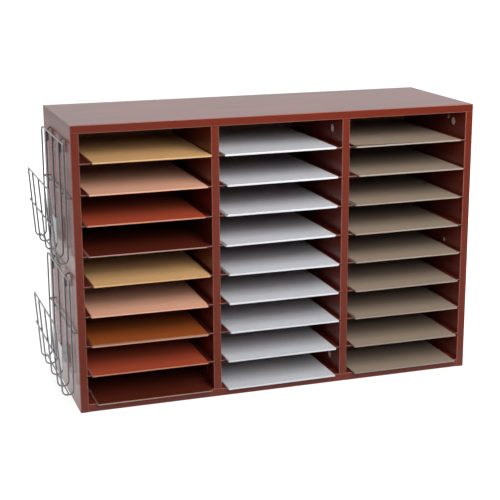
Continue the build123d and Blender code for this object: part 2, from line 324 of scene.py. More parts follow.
def mahogany_laminate(settings, name, grain, figure):
    """Printed mahogany laminate, pressed with a satin plate, with plastic bands on the
    front edges. It gives a dark red ground with long faint pores, and a soft gloss that
    mirrors the pale studio where it is seen along the board. The grain is the number of the
    axis that the pores follow, and the figure the depth of the broad darker bands."""
    material, tree = new_material(name)
    place = add_node(tree, "ShaderNodeTexCoord").outputs["Object"]
    # Real pores are about 0.3 mm wide, too fine to show, so they are drawn coarser
    pore_scale = [1 / settings.pore_width] * 3
    pore_scale[grain] = 1 / settings.pore_length
    # Broad bands of the figure, about 22 mm wide and 300 mm long
    figure_scale = [1 / (22 * MM)] * 3
    figure_scale[grain] = 1 / (300 * MM)
    pore_place = add_node(
        tree, "ShaderNodeMapping", {"Vector": place, "Scale": pore_scale}, vector_type="POINT"
    )
    pores = add_node(
        tree,
        "ShaderNodeTexNoise",
        {"Vector": pore_place.outputs[0], "Scale": 1.0, "Detail": 3.0, "Roughness": 0.6},
    )
    figure_place = add_node(
        tree, "ShaderNodeMapping", {"Vector": place, "Scale": figure_scale}, vector_type="POINT"
    )
    broad = add_node(
        tree,
        "ShaderNodeTexNoise",
        {
            "Vector": figure_place.outputs[0],
            "Scale": 1.0,
            "Detail": 2.0,
            "Roughness": 0.5,
            "Distortion": 0.6,
        },
    )
    pore_depth = add_node(
        tree,
        "ShaderNodeMapRange",
        {"Value": pores.outputs["Fac"], "From Min": 0.48, "From Max": 0.72, "To Max": 0.25},
    )
    band_depth = add_node(
        tree,
        "ShaderNodeMapRange",
        {"Value": broad.outputs["Fac"], "From Min": 0.4, "From Max": 0.62, "To Max": figure},
    )
    darkness = add_node(
        tree,
        "ShaderNodeMath",
        {0: pore_depth.outputs[0], 1: band_depth.outputs[0]},
        operation="ADD",
        use_clamp=True,
    )
    face = add_node(
        tree,
        "ShaderNodeMix",
        {0: darkness.outputs[0], 6: opaque(settings.ground), 7: opaque(settings.pores)},
        data_type="RGBA",
    )
    # A face turns from sideways, at 0, over a trimmed round to the front, at 1. The bands cover
    # what looks to the front, and the rounds a pale trim line, which is also a painted
    # highlight for the light that the rounded edges catch
    normal = add_node(tree, "ShaderNodeNewGeometry").outputs["True Normal"]
    forward = add_node(
        tree, "ShaderNodeVectorMath", {0: normal, 1: (0.0, -1.0, 0.0)}, operation="DOT_PRODUCT"
    ).outputs["Value"]
    on_band = add_node(
        tree, "ShaderNodeMapRange", {"Value": forward, "From Min": 0.25, "From Max": 0.35}
    )
    on_round_highlight = add_node(
        tree, "ShaderNodeMath", {0: forward, 1: 0.62, 2: 0.34}, operation="COMPARE"
    )
    banded = add_node(
        tree,
        "ShaderNodeMix",
        {0: on_band.outputs[0], 6: face.outputs[2], 7: opaque(settings.band)},
        data_type="RGBA",
    )
    trimmed_and_highlighted = add_node(
        tree,
        "ShaderNodeMix",
        {0: on_round_highlight.outputs[0], 6: banded.outputs[2], 7: opaque(settings.trim_line_and_highlight)},
        data_type="RGBA",
    )
    gloss = add_node(
        tree, "ShaderNodeMapRange", {"Value": pores.outputs["Fac"], "To Min": 0.2, "To Max": 0.28}
    )
    relief = add_node(
        tree,
        "ShaderNodeBump",
        {"Height": pores.outputs["Fac"], "Strength": 0.08, "Distance": 0.1 * MM},
    )
    shader = add_node(
        tree,
        "ShaderNodeBsdfPrincipled",
        {
            "Base Color": trimmed_and_highlighted.outputs[2],
            "Roughness": gloss.outputs[0],
            "Specular IOR Level": 0.5,
            "Normal": relief.outputs[0],
        },
    )
    add_node(tree, "ShaderNodeOutputMaterial", {"Surface": shader.outputs[0]})
    return material


def shelf_film(settings, lowest, pitch, thickness):
    """Thin hardboard with a printed film on both faces, sawn to size. It gives the boards'
    red with grain along the shelf, and dull brown cut edges with the film's pale line on
    top, drawn wide as a painted highlight where the top of the edge catches the light. The
    lowest shelf's underside, the pitch and the thickness place that line."""
    material, tree = new_material("shelf_film_on_hardboard")
    place = add_node(tree, "ShaderNodeTexCoord").outputs["Object"]
    stretched = add_node(
        tree,
        "ShaderNodeMapping",
        {"Vector": place, "Scale": (1 / settings.pore_length, 1 / settings.pore_width, 1.0)},
    )
    print_grain = add_node(
        tree,
        "ShaderNodeTexNoise",
        {"Vector": stretched.outputs[0], "Scale": 1.0, "Detail": 3.0},
    )
    film = add_node(
        tree,
        "ShaderNodeMix",
        {0: print_grain.outputs["Fac"], 6: opaque(settings.ground), 7: opaque(settings.pores)},
        data_type="RGBA",
    )
    # Fibres of the cut edge, about 0.6 mm
    fibres = add_node(
        tree, "ShaderNodeTexNoise", {"Vector": place, "Scale": 1 / (0.6 * MM), "Detail": 2.0}
    )
    cut = add_node(
        tree,
        "ShaderNodeMix",
        {
            0: fibres.outputs["Fac"],
            6: opaque(settings.shelf_edge),
            7: opaque(settings.shelf_edge, 0.7),
        },
        data_type="RGBA",
    )
    # The film is 0.2 mm thick, too fine to show, so it is drawn over two fifths of the edge,
    # pale as a painted highlight of the light on the top of the cut edge
    spot = add_node(tree, "ShaderNodeSeparateXYZ", {0: place}).outputs
    height = add_node(
        tree, "ShaderNodeMath", {0: spot["Z"], 1: lowest}, operation="SUBTRACT"
    )
    in_shelf = add_node(
        tree, "ShaderNodeMath", {0: height.outputs[0], 1: pitch}, operation="FLOORED_MODULO"
    )
    on_film_line_and_highlight = add_node(
        tree,
        "ShaderNodeMapRange",
        {
            "Value": in_shelf.outputs[0],
            "From Min": 0.55 * thickness,
            "From Max": 0.65 * thickness,
        },
    )
    lined_and_highlighted = add_node(
        tree,
        "ShaderNodeMix",
        {0: on_film_line_and_highlight.outputs[0], 6: cut.outputs[2], 7: opaque(settings.film_line_and_highlight)},
        data_type="RGBA",
    )
    normal = add_node(tree, "ShaderNodeNewGeometry").outputs["True Normal"]
    upward = add_node(tree, "ShaderNodeSeparateXYZ", {0: normal}).outputs["Z"]
    flat = add_node(tree, "ShaderNodeMath", {0: upward}, operation="ABSOLUTE")
    colour = add_node(
        tree,
        "ShaderNodeMix",
        {0: flat.outputs[0], 6: lined_and_highlighted.outputs[2], 7: film.outputs[2]},
        data_type="RGBA",
    )
    gloss = add_node(
        tree, "ShaderNodeMapRange", {"Value": flat.outputs[0], "To Min": 0.75, "To Max": 0.42}
    )
    shader = add_node(
        tree,
        "ShaderNodeBsdfPrincipled",
        {"Base Color": colour.outputs[2], "Roughness": gloss.outputs[0], "Specular IOR Level": 0.3},
    )
    add_node(tree, "ShaderNodeOutputMaterial", {"Surface": shader.outputs[0]})
    return material


def back_hardboard(settings):
    """Pressed hardboard, screen side out. It gives a matt brown back with a fine mesh of
    pits and blotches of darker fibre."""
    material, tree = new_material("pressed_hardboard")
    place = add_node(tree, "ShaderNodeTexCoord").outputs["Object"]
    # The wire screen leaves pits about 1.8 mm apart
    screen = add_node(
        tree,
        "ShaderNodeTexVoronoi",
        {"Vector": place, "Scale": 1 / (1.8 * MM), "Randomness": 0.35},
    )
    blotches = add_node(
        tree, "ShaderNodeTexNoise", {"Vector": place, "Scale": 1 / (35 * MM), "Detail": 4.0}
    )
    colour = add_node(
        tree,
        "ShaderNodeMix",
        {0: blotches.outputs["Fac"], 6: opaque(linear("#7a4a38")), 7: opaque(linear("#58301f"))},
        data_type="RGBA",
    )
    relief = add_node(
        tree,
        "ShaderNodeBump",
        {"Height": screen.outputs["Distance"], "Strength": 0.5, "Distance": 0.2 * MM},
    )
    shader = add_node(
        tree,
        "ShaderNodeBsdfPrincipled",
        {"Base Color": colour.outputs[2], "Roughness": 0.7, "Normal": relief.outputs[0]},
    )
    add_node(tree, "ShaderNodeOutputMaterial", {"Surface": shader.outputs[0]})
    return material


def metal(name, hex_colour, metallic, roughness, patch_size, patch_depth):
    """A bare metal with small duller patches, which give a broken gloss. A lower metallic
    share mixes in a plain diffuse colour, paler out of the light, so a pale one paints a
    glint over the whole part. The depth of a patch is how far the roughness goes up and down."""
    material, tree = new_material(name)
    place = add_node(tree, "ShaderNodeTexCoord").outputs["Object"]
    patches = add_node(
        tree, "ShaderNodeTexNoise", {"Vector": place, "Scale": 1 / patch_size, "Detail": 3.0}
    )
    gloss = add_node(
        tree,
        "ShaderNodeMapRange",
        {
            "Value": patches.outputs["Fac"],
            "To Min": roughness - patch_depth,
            "To Max": roughness + patch_depth,
        },
    )
    shader = add_node(
        tree,
        "ShaderNodeBsdfPrincipled",
        {
            "Base Color": opaque(linear(hex_colour)),
            "Metallic": metallic,
            "Roughness": gloss.outputs[0],
        },
    )
    add_node(tree, "ShaderNodeOutputMaterial", {"Surface": shader.outputs[0]})
    return material


def beech():
    """Turned beech dowel stock. It gives a pale wood with short darker flecks along it."""
    material, tree = new_material("turned_beech")
    place = add_node(tree, "ShaderNodeTexCoord").outputs["Object"]
    # Flecks of beech rays, about 0.5 mm wide and 3 mm long
    fleck_scale = (1 / (0.5 * MM), 1 / (0.5 * MM), 1 / (3 * MM))
    stretched = add_node(tree, "ShaderNodeMapping", {"Vector": place, "Scale": fleck_scale})
    flecks = add_node(tree, "ShaderNodeTexNoise", {"Vector": stretched.outputs[0], "Scale": 1.0})
    colour = add_node(
        tree,
        "ShaderNodeMix",
        {0: flecks.outputs["Fac"], 6: opaque(linear("#d9bb8e")), 7: opaque(linear("#b98f5f"))},
        data_type="RGBA",
    )
    shader = add_node(
        tree, "ShaderNodeBsdfPrincipled", {"Base Color": colour.outputs[2], "Roughness": 0.6}
    )
    add_node(tree, "ShaderNodeOutputMaterial", {"Surface": shader.outputs[0]})
    return material


def moulded_nylon():
    """Unpigmented moulded nylon. It gives a warm white with a low, slightly cloudy gloss."""
    material, tree = new_material("moulded_nylon")
    place = add_node(tree, "ShaderNodeTexCoord").outputs["Object"]
    # Flow marks of the moulding, about 1.5 mm
    marks = add_node(tree, "ShaderNodeTexNoise", {"Vector": place, "Scale": 1 / (1.5 * MM)})
    colour = add_node(
        tree,
        "ShaderNodeMix",
        {0: marks.outputs["Fac"], 6: opaque(linear("#e2d8cb")), 7: opaque(linear("#cfc1b1"))},
        data_type="RGBA",
    )
    shader = add_node(
        tree, "ShaderNodeBsdfPrincipled", {"Base Color": colour.outputs[2], "Roughness": 0.5}
    )
    add_node(tree, "ShaderNodeOutputMaterial", {"Surface": shader.outputs[0]})
    return material


def silver_powder_coat(name, coat):
    """Steel with a baked silver powder coat. It gives an even grey with a low gloss and the
    faint orange peel of a cured powder."""
    material, tree = new_material(name)
    place = add_node(tree, "ShaderNodeTexCoord").outputs["Object"]
    # Orange peel, about 0.5 mm from crest to crest
    peel = add_node(tree, "ShaderNodeTexNoise", {"Vector": place, "Scale": 1 / (0.5 * MM)})
    relief = add_node(
        tree,
        "ShaderNodeBump",
        {"Height": peel.outputs["Fac"], "Strength": 0.2, "Distance": 0.05 * MM},
    )
    # Clouds of a little more or less powder, about 18 mm
    shade = add_node(
        tree, "ShaderNodeTexNoise", {"Vector": place, "Scale": 1 / (18 * MM), "Detail": 2.0}
    )
    colour = add_node(
        tree,
        "ShaderNodeMix",
        {0: shade.outputs["Fac"], 6: opaque(coat), 7: opaque(coat, 0.82)},
        data_type="RGBA",
    )
    shader = add_node(
        tree,
        "ShaderNodeBsdfPrincipled",
        {
            "Base Color": colour.outputs[2],
            "Metallic": 0.85,
            "Roughness": 0.28,
            "Normal": relief.outputs[0],
        },
    )
    add_node(tree, "ShaderNodeOutputMaterial", {"Surface": shader.outputs[0]})
    return material


def card(name, colour, cut_edge):
    """Uncoated card or paper, cut in a stack. It gives a matt face with a cloudy fibre, and
    paler cut edges in fine layers."""
    material, tree = new_material(name)
    place = add_node(tree, "ShaderNodeTexCoord").outputs["Object"]
    # Clouds of fibre, about 9 mm. The tooth of the surface, 0.1 mm or less, is too fine to
    # show and is drawn at about 0.7 mm
    clouds = add_node(
        tree, "ShaderNodeTexNoise", {"Vector": place, "Scale": 1 / (9 * MM), "Detail": 4.0}
    )
    tooth = add_node(
        tree, "ShaderNodeTexNoise", {"Vector": place, "Scale": 1 / (0.7 * MM), "Detail": 2.0}
    )
    face = add_node(
        tree,
        "ShaderNodeMix",
        {0: clouds.outputs["Fac"], 6: opaque(colour, 0.93), 7: opaque(colour, 1.06)},
        data_type="RGBA",
    )
    # Sheets are 0.1 mm thick, so their layers are drawn 0.6 mm apart to show
    layers = add_node(
        tree,
        "ShaderNodeTexWave",
        {"Vector": place, "Scale": 1 / (0.6 * MM) / (2 * math.pi), "Distortion": 1.5},
        bands_direction="Z",
    )
    edge = add_node(
        tree,
        "ShaderNodeMix",
        {0: layers.outputs["Fac"], 6: opaque(cut_edge, 0.82), 7: opaque(cut_edge)},
        data_type="RGBA",
    )
    # Waved leaves are never quite level, so a face counts as level from a little below 1
    normal = add_node(tree, "ShaderNodeNewGeometry").outputs["True Normal"]
    upward = add_node(tree, "ShaderNodeSeparateXYZ", {0: normal}).outputs["Z"]
    level = add_node(tree, "ShaderNodeMath", {0: upward}, operation="ABSOLUTE")
    flat = add_node(
        tree, "ShaderNodeMapRange", {"Value": level.outputs[0], "From Min": 0.93, "From Max": 0.97}
    )
    drawn = add_node(
        tree,
        "ShaderNodeMix",
        {0: flat.outputs[0], 6: edge.outputs[2], 7: face.outputs[2]},
        data_type="RGBA",
    )
    relief = add_node(
        tree,
        "ShaderNodeBump",
        {"Height": tooth.outputs["Fac"], "Strength": 0.2, "Distance": 0.05 * MM},
    )
    shader = add_node(
        tree,
        "ShaderNodeBsdfPrincipled",
        {
            "Base Color": drawn.outputs[2],
            "Roughness": 0.85,
            "Specular IOR Level": 0.3,
            "Normal": relief.outputs[0],
        },
    )
    add_node(tree, "ShaderNodeOutputMaterial", {"Surface": shader.outputs[0]})
    return material


def studio_floor(settings):
    """A sheet of pale seamless paper. It gives a white ground with the object's soft
    shadow."""
    material, tree = new_material("seamless_paper")
    place = add_node(tree, "ShaderNodeTexCoord").outputs["Object"]
    # Faint clouds of the paper, about 330 mm
    mottle = add_node(tree, "ShaderNodeTexNoise", {"Vector": place, "Scale": 3.0})
    colour = add_node(
        tree,
        "ShaderNodeMix",
        {
            0: mottle.outputs["Fac"],
            6: opaque(settings.floor),
            7: opaque(settings.floor, 0.98),
        },
        data_type="RGBA",
    )
    paper = add_node(tree, "ShaderNodeBsdfDiffuse", {"Color": colour.outputs[2]})
    # The camera sees a white sweep, a little dimmer round the object, where its shadow
    # falls. Glossy boards mirror the part behind the object, which fades far away
    spot = add_node(tree, "ShaderNodeSeparateXYZ", {0: place}).outputs
    away = add_node(
        tree, "ShaderNodeVectorMath", {0: place}, operation="LENGTH"
    ).outputs["Value"]
    sweep = add_node(
        tree,
        "ShaderNodeMapRange",
        {"Value": away, "From Min": 0.6, "From Max": 1.6, "To Min": 0.8, "To Max": 1.0},
    )
    behind = add_node(
        tree, "ShaderNodeMapRange", {"Value": spot["Y"], "From Min": -0.35, "From Max": 0.05}
    )
    fading = add_node(
        tree,
        "ShaderNodeMapRange",
        {"Value": away, "From Min": 0.5, "From Max": 1.5, "To Min": 0.85, "To Max": 0.4},
    )
    mirrored = add_node(
        tree,
        "ShaderNodeMath",
        {0: behind.outputs[0], 1: fading.outputs[0]},
        operation="MULTIPLY",
    )
    ray = add_node(tree, "ShaderNodeLightPath").outputs
    seen = add_node(
        tree,
        "ShaderNodeMath",
        {0: ray["Is Camera Ray"], 1: ray["Is Transmission Ray"]},
        operation="MAXIMUM",
    )
    straight = add_node(
        tree,
        "ShaderNodeMath",
        {0: seen.outputs[0], 1: sweep.outputs[0]},
        operation="MULTIPLY",
    )
    strength = add_node(
        tree,
        "ShaderNodeMath",
        {0: ray["Is Glossy Ray"], 1: mirrored.outputs[0], 2: straight.outputs[0]},
        operation="MULTIPLY_ADD",
    )
    glow = add_node(
        tree,
        "ShaderNodeEmission",
        {"Color": opaque(WHITE), "Strength": strength.outputs[0]},
    )
    lit = add_node(tree, "ShaderNodeAddShader", {0: paper.outputs[0], 1: glow.outputs[0]})
    add_node(tree, "ShaderNodeOutputMaterial", {"Surface": lit.outputs[0]})
    return material


def graph(name, inputs):
    """An empty geometry tree with named inputs, and its input and output nodes."""
    tree = bpy.data.node_groups.new(name, "GeometryNodeTree")
    tree.interface.new_socket("Geometry", in_out="OUTPUT", socket_type="NodeSocketGeometry")
    for label, kind in inputs:
        tree.interface.new_socket(label, in_out="INPUT", socket_type=f"NodeSocket{kind}")
    start = add_node(tree, "NodeGroupInput")
    end = add_node(tree, "NodeGroupOutput")
    return tree, start.outputs, end.inputs


def set_at_points(tree, given, result, shape, turn=(0.0, 0.0, 0.0)):
    """Ends a tree with its shape at each of the given points, in the given material."""
    spread = add_node(
        tree,
        "GeometryNodeInstanceOnPoints",
        {"Points": given["Geometry"], "Instance": shape, "Rotation": turn},
    )
    plain = add_node(tree, "GeometryNodeRealizeInstances", {0: spread.outputs[0]})
    finished = add_node(
        tree,
        "GeometryNodeSetMaterial",
        {"Geometry": plain.outputs[0], "Material": given["Material"]},
    )
    tree.links.new(finished.outputs[0], result["Geometry"])


def loose_leaves_graph():
    """Leaves of paper one above the other, each moved and turned a little by chance."""
    tree, given, result = graph(
        "Leaves of paper",
        [
            ("Count", "Int"),
            ("Width", "Float"),
            ("Length", "Float"),
            ("Leaf", "Float"),
            ("Slide", "Float"),
            ("Turn", "Float"),
            ("Seed", "Int"),
        ],
    )
    half = add_node(tree, "ShaderNodeMath", {0: given["Leaf"], 1: 0.5}, operation="MULTIPLY")
    first = add_node(tree, "ShaderNodeCombineXYZ", {"Z": half.outputs[0]})
    step = add_node(tree, "ShaderNodeCombineXYZ", {"Z": given["Leaf"]})
    line = add_node(
        tree,
        "GeometryNodeMeshLine",
        {"Count": given["Count"], "Start Location": first.outputs[0], "Offset": step.outputs[0]},
        mode="OFFSET",
    )
    slide = add_node(tree, "ShaderNodeCombineXYZ", {"X": given["Slide"], "Y": given["Slide"]})
    slide_back = add_node(
        tree, "ShaderNodeVectorMath", {0: slide.outputs[0], "Scale": -1.0}, operation="SCALE"
    )
    moved = add_node(
        tree,
        "FunctionNodeRandomValue",
        {0: slide_back.outputs[0], 1: slide.outputs[0], "Seed": given["Seed"]},
        data_type="FLOAT_VECTOR",
    )
    scattered = add_node(
        tree,
        "GeometryNodeSetPosition",
        {"Geometry": line.outputs[0], "Offset": moved.outputs[0]},
    )
    turn = add_node(tree, "ShaderNodeCombineXYZ", {"Z": given["Turn"]})
    turn_back = add_node(
        tree, "ShaderNodeVectorMath", {0: turn.outputs[0], "Scale": -1.0}, operation="SCALE"
    )
    turn_seed = add_node(
        tree, "ShaderNodeMath", {0: given["Seed"], 1: TURN_SEED_STEP}, operation="ADD"
    )
    turned = add_node(
        tree,
        "FunctionNodeRandomValue",
        {0: turn_back.outputs[0], 1: turn.outputs[0], "Seed": turn_seed.outputs[0]},
        data_type="FLOAT_VECTOR",
    )
    size = add_node(
        tree,
        "ShaderNodeCombineXYZ",
        {"X": given["Width"], "Y": given["Length"], "Z": given["Leaf"]},
    )
    # Vertices about 24 mm apart, for the waves of the pile
    leaf = add_node(
        tree,
        "GeometryNodeMeshCube",
        {"Size": size.outputs[0], "Vertices X": 10, "Vertices Y": 13, "Vertices Z": 2},
    )
    leaves = add_node(
        tree,
        "GeometryNodeInstanceOnPoints",
        {
            "Points": scattered.outputs[0],
            "Instance": leaf.outputs[0],
            "Rotation": turned.outputs[0],
        },
    )
    tree.links.new(leaves.outputs[0], result["Geometry"])
    return tree


def pile_graph(leaves_tree):
    """A pile of leaves with a loose one on top, in a paper of its own. The pile leans, and
    rises and falls a little towards its top."""
    tree, given, result = graph(
        "Pile of paper",
        [
            ("Width", "Float"),
            ("Length", "Float"),
            ("Leaf", "Float"),
            ("Leaves", "Int"),
            ("Slide", "Float"),
            ("Turn", "Float"),
            ("Lean", "Float"),
            ("Loose Length", "Float"),
            ("Loose Offset", "Vector"),
            ("Loose Turn", "Vector"),
            ("Place", "Vector"),
            ("Pile Turn", "Vector"),
            ("Wave", "Float"),
            ("Seed", "Int"),
            ("Paper", "Material"),
            ("Loose Paper", "Material"),
        ],
    )
    shared = {key: given[key] for key in ("Width", "Leaf", "Slide", "Turn")}
    pile = add_node(
        tree,
        "GeometryNodeGroup",
        {**shared, "Count": given["Leaves"], "Length": given["Length"], "Seed": given["Seed"]},
        node_tree=leaves_tree,
    )
    loose_seed = add_node(
        tree, "ShaderNodeMath", {0: given["Seed"], 1: LOOSE_SEED_STEP}, operation="ADD"
    )
    loose = add_node(
        tree,
        "GeometryNodeGroup",
        {
            **shared,
            "Count": 1,
            "Length": given["Loose Length"],
            "Seed": loose_seed.outputs[0],
        },
        node_tree=leaves_tree,
    )
    laid = add_node(
        tree,
        "GeometryNodeTransform",
        {
            "Geometry": loose.outputs[0],
            "Translation": given["Loose Offset"],
            "Rotation": given["Loose Turn"],
        },
    )
    loose_solid = add_node(tree, "GeometryNodeRealizeInstances", {0: laid.outputs[0]})
    marked = add_node(
        tree,
        "GeometryNodeStoreNamedAttribute",
        {"Geometry": loose_solid.outputs[0], "Name": "loose", "Value": True},
        data_type="BOOLEAN",
        domain="FACE",
    )
    together = add_node(tree, "GeometryNodeJoinGeometry", {0: pile.outputs[0]})
    tree.links.new(marked.outputs[0], together.inputs[0])
    solid = add_node(tree, "GeometryNodeRealizeInstances", {0: together.outputs[0]})
    place = add_node(tree, "GeometryNodeInputPosition")
    # Waves about 160 mm long, higher towards the top of the pile, never into the shelf
    ripple = add_node(
        tree,
        "ShaderNodeTexNoise",
        {"Vector": place.outputs[0], "W": given["Seed"], "Scale": 1 / (160 * MM), "Detail": 1.0},
        noise_dimensions="4D",
    )
    level = add_node(tree, "ShaderNodeSeparateXYZ", {0: place.outputs[0]})
    lift = add_node(
        tree,
        "ShaderNodeMath",
        {0: ripple.outputs["Fac"], 1: level.outputs["Z"]},
        operation="MULTIPLY",
    )
    scaled = add_node(
        tree, "ShaderNodeMath", {0: lift.outputs[0], 1: given["Wave"]}, operation="MULTIPLY"
    )
    height = add_node(
        tree, "ShaderNodeMath", {0: given["Leaf"], 1: given["Leaves"]}, operation="MULTIPLY"
    )
    foot = add_node(tree, "ShaderNodeMath", {0: given["Lean"], 1: -1.0}, operation="MULTIPLY")
    leaning = add_node(
        tree,
        "ShaderNodeMapRange",
        {
            "Value": level.outputs["Z"],
            "From Max": height.outputs[0],
            "To Min": foot.outputs[0],
            "To Max": 0.0,
        },
    )
    shift = add_node(
        tree, "ShaderNodeCombineXYZ", {"X": leaning.outputs[0], "Z": scaled.outputs[0]}
    )
    waved = add_node(
        tree, "GeometryNodeSetPosition", {"Geometry": solid.outputs[0], "Offset": shift.outputs[0]}
    )
    placed = add_node(
        tree,
        "GeometryNodeTransform",
        {
            "Geometry": waved.outputs[0],
            "Translation": given["Place"],
            "Rotation": given["Pile Turn"],
        },
    )
    plain = add_node(tree, "GeometryNodeRealizeInstances", {0: placed.outputs[0]})
    papered = add_node(
        tree,
        "GeometryNodeSetMaterial",
        {"Geometry": plain.outputs[0], "Material": given["Paper"]},
    )
    is_loose = add_node(
        tree, "GeometryNodeInputNamedAttribute", {"Name": "loose"}, data_type="BOOLEAN"
    )
    finished = add_node(
        tree,
        "GeometryNodeSetMaterial",
        {
            "Geometry": papered.outputs[0],
            "Selection": is_loose.outputs[0],
            "Material": given["Loose Paper"],
        },
    )
    tree.links.new(finished.outputs[0], result["Geometry"])
    return tree


def weld_graph():
    """A small round bead at each point."""
    tree, given, result = graph(
        "Weld beads", [("Geometry", "Geometry"), ("Radius", "Float"), ("Material", "Material")]
    )
    bead = add_node(
        tree, "GeometryNodeMeshIcoSphere", {"Radius": given["Radius"], "Subdivisions": 2}
    )
    smooth = add_node(tree, "GeometryNodeSetShadeSmooth", {"Geometry": bead.outputs[0]})
    set_at_points(tree, given, result, smooth.outputs[0])
    return tree


def cap_graph():
    """A thin round cap on each point, facing along X."""
    tree, given, result = graph(
        "Cover caps",
        [
            ("Geometry", "Geometry"),
            ("Radius", "Float"),
            ("Thickness", "Float"),
            ("Material", "Material"),
        ],
    )
    disc = add_node(
        tree,
        "GeometryNodeMeshCylinder",
        {"Vertices": 40, "Radius": given["Radius"], "Depth": given["Thickness"]},
    )
    set_at_points(tree, given, result, disc.outputs["Mesh"], FACING_X)
    return tree


def collar_graph():
    """A flat collar round each point, facing along X."""
    tree, given, result = graph(
        "Hole collars",
        [
            ("Geometry", "Geometry"),
            ("Inner Radius", "Float"),
            ("Rim", "Float"),
            ("Height", "Float"),
            ("Material", "Material"),
        ],
    )
    radius = add_node(
        tree,
        "ShaderNodeMath",
        {0: given["Rim"], 1: 0.5, 2: given["Inner Radius"]},
        operation="MULTIPLY_ADD",
    )
    ring = add_node(
        tree, "GeometryNodeCurvePrimitiveCircle", {"Resolution": 28, "Radius": radius.outputs[0]}
    )
    profile = add_node(
        tree,
        "GeometryNodeCurvePrimitiveQuadrilateral",
        {"Width": given["Rim"], "Height": given["Height"]},
    )
    collar = add_node(
        tree,
        "GeometryNodeCurveToMesh",
        {"Curve": ring.outputs[0], "Profile Curve": profile.outputs[0]},
    )
    set_at_points(tree, given, result, collar.outputs[0], FACING_X)
    return tree


def grow(name, points, tree, values):
    """Runs a geometry tree on some points and leaves its result as a plain mesh object."""
    seed_mesh = bpy.data.meshes.new(name)
    seed_mesh.from_pydata(points, [], [])
    piece = bpy.data.objects.new(name, seed_mesh)
    bpy.context.scene.collection.objects.link(piece)
    modifier = piece.modifiers.new(tree.name, "NODES")
    modifier.node_group = tree
    identifiers = {
        item.name: item.identifier
        for item in tree.interface.items_tree
        if item.item_type == "SOCKET" and item.in_out == "INPUT"
    }
    for label, value in values.items():
        modifier[identifiers[label]] = value
    evaluated = piece.evaluated_get(bpy.context.evaluated_depsgraph_get())
    grown = bpy.data.meshes.new_from_object(evaluated)
    if not grown.polygons:
        raise RuntimeError(f"the tree {tree.name} made no faces for {name}")
    piece.modifiers.clear()
    piece.data = grown
    bpy.data.meshes.remove(seed_mesh)
    grown.name = name
    return piece


def turn_limit(left_gap, right_gap, reach, length, width, depth):
    """The largest turn, in radians to the left and right, at which a sheet still clears the
    walls and the back. Its front edge stands out by the reach, and sizes are in metres."""
    spare = depth + reach - length
    by_back = max(0.0, spare) / (width / 2)
    return min(by_back, left_gap / length), min(by_back, right_gap / length)


class MAILCENTER_OT_finish_boards(bpy.types.Operator):
    """Give the boards and shelves their laminate"""

    bl_idname = "mailcenter.finish_boards"
    bl_label = "Finish the boards"

    def execute(self, context):
        settings = context.scene.mail_center_laminate
        lengthwise = mahogany_laminate(
            settings, "mahogany_laminate_lengthwise", grain=0, figure=0.65
        )
        upright = mahogany_laminate(settings, "mahogany_laminate_upright", grain=1, figure=0.15)
        paint(("top_board", "bottom_board"), lengthwise)
        paint(BOARDS, upright)
        shelves = [f"shelf_{column}_{row}" for column in COLUMNS for row in range(1, ROWS)]
        low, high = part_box(shelves[-1])
        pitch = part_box(shelves[-2])[0].z - low.z
        paint(shelves, shelf_film(settings, low.z, pitch, high.z - low.z))
        paint(("back_panel",), back_hardboard(settings))
        self.cover_the_cams(settings, upright)
        return {"FINISHED"}

    def cover_the_cams(self, settings, laminate):
        """Laminate caps over the cam locks of the left divider, which are as far from the
        bottom board as from the top one."""
        low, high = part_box("cam_locks")
        upper = high.z - CAM_RADIUS
        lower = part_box("bottom_board")[1].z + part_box("top_board")[0].z - upper
        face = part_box("left_divider")[0].x - CAP_THICKNESS / 2
        caps = grow(
            "cover_caps",
            [
                (face, y, z)
                for y in (low.y + CAM_RADIUS, high.y - CAM_RADIUS)
                for z in (lower, upper)
            ],
            cap_graph(),
            {"Radius": settings.cap_radius, "Thickness": CAP_THICKNESS, "Material": laminate},
        )
        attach(caps, "cabinet")


class MAILCENTER_OT_finish_fittings(bpy.types.Operator):
    """Give the cam locks, cam bolts, nails and dowels their finishes"""

    bl_idname = "mailcenter.finish_fittings"
    bl_label = "Finish the fittings"

    def execute(self, context):
        # Zinc as cast, with cloudy patches, about 2 mm. Its colour is painted pale and half
        # diffuse: a painted glint that stands in for the lamps' reflection on the cams
        zinc_with_painted_glint = metal(
            "cast_zinc",
            "#eee6da",
            metallic=0.5,
            roughness=0.6,
            patch_size=2 * MM,
            patch_depth=0.1,
        )
        # Drawn wire nails: bright, with fine patches, about 0.6 mm
        steel = metal(
            "bright_drawn_steel",
            "#c6c6c6",
            metallic=1.0,
            roughness=0.3,
            patch_size=0.6 * MM,
            patch_depth=0.08,
        )
        paint(("cam_locks", "cam_bolts"), zinc_with_painted_glint)
        paint(("back_nails",), steel)
        paint(("dowels",), beech())
        self.line_the_holes()
        return {"FINISHED"}

    def line_the_holes(self):
        """Collars round the spare basket holes, on the inner face of the right side board."""
        holes = [mount for mount in frame["record"]["mounts"] if mount["kind"] == "bore"]
        inner_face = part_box("right_side_board")[0].x
        collars = grow(
            "hole_collars",
            [(inner_face, mount["pos_m"][1], mount["pos_m"][2]) for mount in holes],
            collar_graph(),
            {
                "Inner Radius": holes[0]["dims"]["r_mm"] * MM,
                "Rim": COLLAR_RIM,
                "Height": COLLAR_HEIGHT,
                "Material": moulded_nylon(),
            },
        )
        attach(collars, "cabinet")


